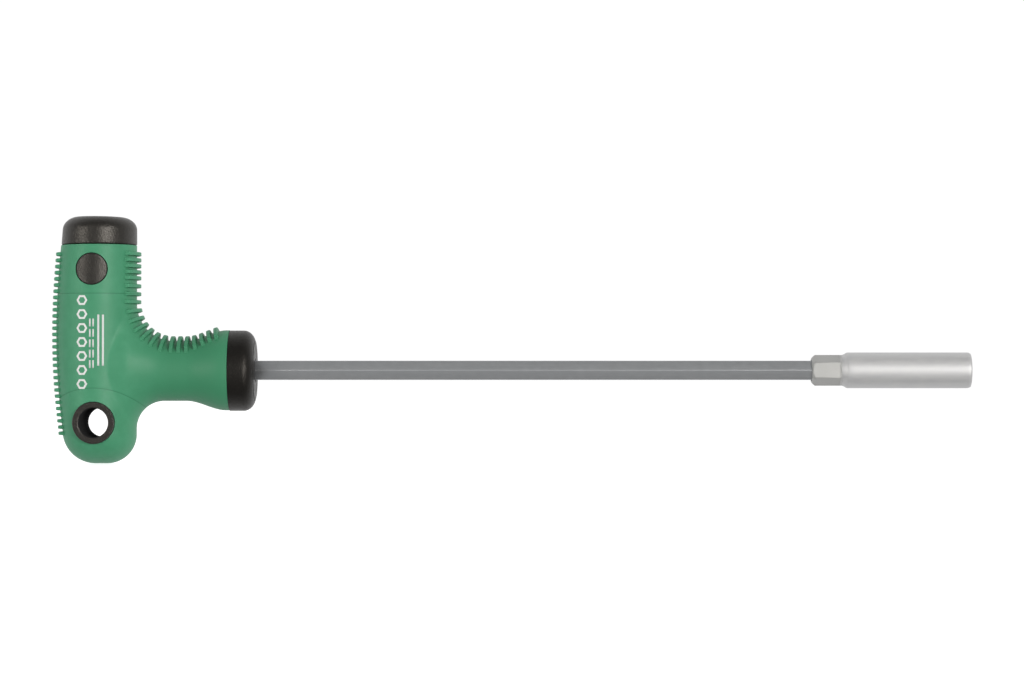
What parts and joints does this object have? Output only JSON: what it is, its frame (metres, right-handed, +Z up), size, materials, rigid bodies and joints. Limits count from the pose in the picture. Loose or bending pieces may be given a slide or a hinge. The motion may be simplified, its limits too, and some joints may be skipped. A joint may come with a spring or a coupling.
{
  "type": "nut driver with offset pistol grip",
  "caption": "Long-reach 8 mm nut driver: hexagonal rod with a fixed nut socket, in a two-plastic offset pistol grip with moulded finger ribs and a hanging hole.",
  "frame": {"origin": "under the middle of the whole tool's length and thickness, at the height of the handle's lower end", "axes": "+X along the rod towards the socket's open end, +Z up the handle's arm towards the end cap, +Y across the handle's thickness"},
  "size_m": [0.2956, 0.026, 0.0794],
  "materials": {
    "rod_steel": "satin nickel-plated steel bar",
    "satin_chrome": "satin chrome plating",
    "hard_black": "fine-grained hard plastic",
    "soft_green": "matt soft-touch thermoplastic rubber"
  },
  "bodies": {
    "root": {"hex_rod": "rod_steel", "nut_socket": "satin_chrome", "handle_core": "hard_black", "soft_grip": "soft_green", "end_cap": "hard_black", "front_collar": "hard_black", "front_plug": "hard_black", "side_disc_front": "hard_black", "side_disc_back": "hard_black", "hanging_eye": "hard_black"}
  },
  "joints": []
}
